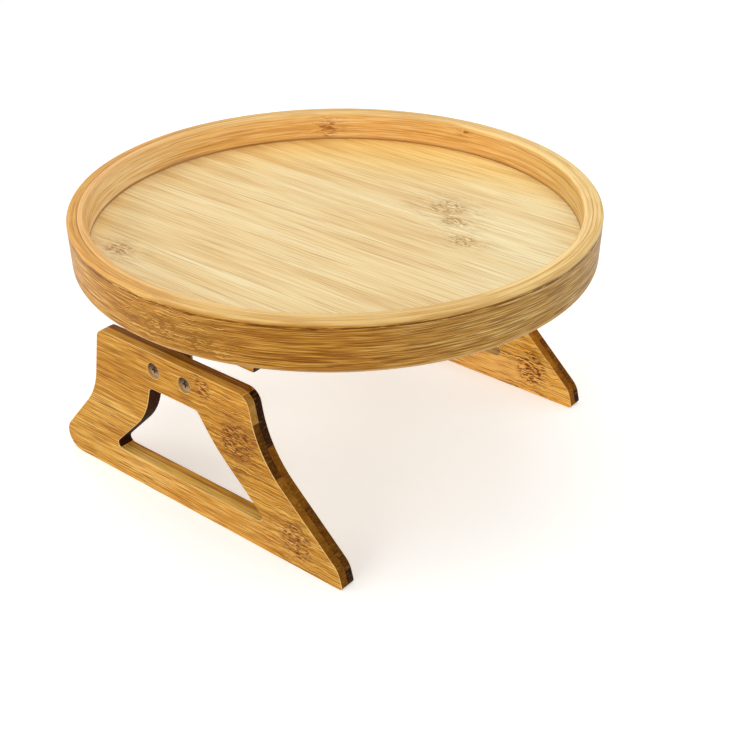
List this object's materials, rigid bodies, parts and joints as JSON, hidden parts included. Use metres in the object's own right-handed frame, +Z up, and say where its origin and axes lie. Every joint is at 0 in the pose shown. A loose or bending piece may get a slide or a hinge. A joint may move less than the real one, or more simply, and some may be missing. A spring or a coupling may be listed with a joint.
{
  "type": "sofa tray",
  "caption": "Round bamboo tray with a bent rim, on window-cut legs that fold on steel hinges and straddle a sofa arm.",
  "frame": {"origin": "on the floor that the feet stand on, under the middle of the round tray, with both legs upright", "axes": "+X along the sofa arm, towards the toes of the legs; +Y across the sofa arm, towards the right leg; +Z up"},
  "size_m": [0.25, 0.25, 0.13],
  "materials": {
    "bamboo_outer_hoop": "satin lacquer over carbonised bamboo",
    "bamboo_inner_hoop": "satin lacquer over bamboo",
    "bamboo_panel": "satin lacquer over natural bamboo",
    "bamboo_batten": "sanded bamboo",
    "bamboo_leg": "satin lacquer over carbonised bamboo",
    "hinge_steel": "dull bronze plating over pressed steel",
    "pin_steel": "dull bronze plating over drawn wire",
    "screw_steel": "dull bronze plating",
    "bolt_steel": "dull nickel-plated"
  },
  "bodies": {
    "tray": {"outer_hoop": "bamboo_outer_hoop", "inner_hoop": "bamboo_inner_hoop", "tray_base": "bamboo_panel", "left_batten": "bamboo_batten", "right_batten": "bamboo_batten", "left_batten_screws": "screw_steel", "right_batten_screws": "screw_steel", "left_fixed_leaf": "hinge_steel", "right_fixed_leaf": "hinge_steel", "left_leaf_screws": "screw_steel", "right_leaf_screws": "screw_steel", "left_hinge_pin": "pin_steel", "right_hinge_pin": "pin_steel"},
    "left_leg": {"left_leg": "bamboo_leg", "left_moving_leaf": "hinge_steel", "left_leg_bolts": "bolt_steel", "left_leg_nuts": "bolt_steel"},
    "right_leg": {"right_leg": "bamboo_leg", "right_moving_leaf": "hinge_steel", "right_leg_bolts": "bolt_steel", "right_leg_nuts": "bolt_steel"}
  },
  "joints": [
    {"name": "left_leg_fold", "type": "hinge", "parent": "tray", "child": "left_leg", "pos_m": [-0.016, -0.0904, 0.0899], "axis": [1, 0, 0], "range_deg": [-60, 90]},
    {"name": "right_leg_fold", "type": "hinge", "parent": "tray", "child": "right_leg", "pos_m": [-0.016, 0.0904, 0.0899], "axis": [1, 0, 0], "range_deg": [-90, 60]}
  ]
}
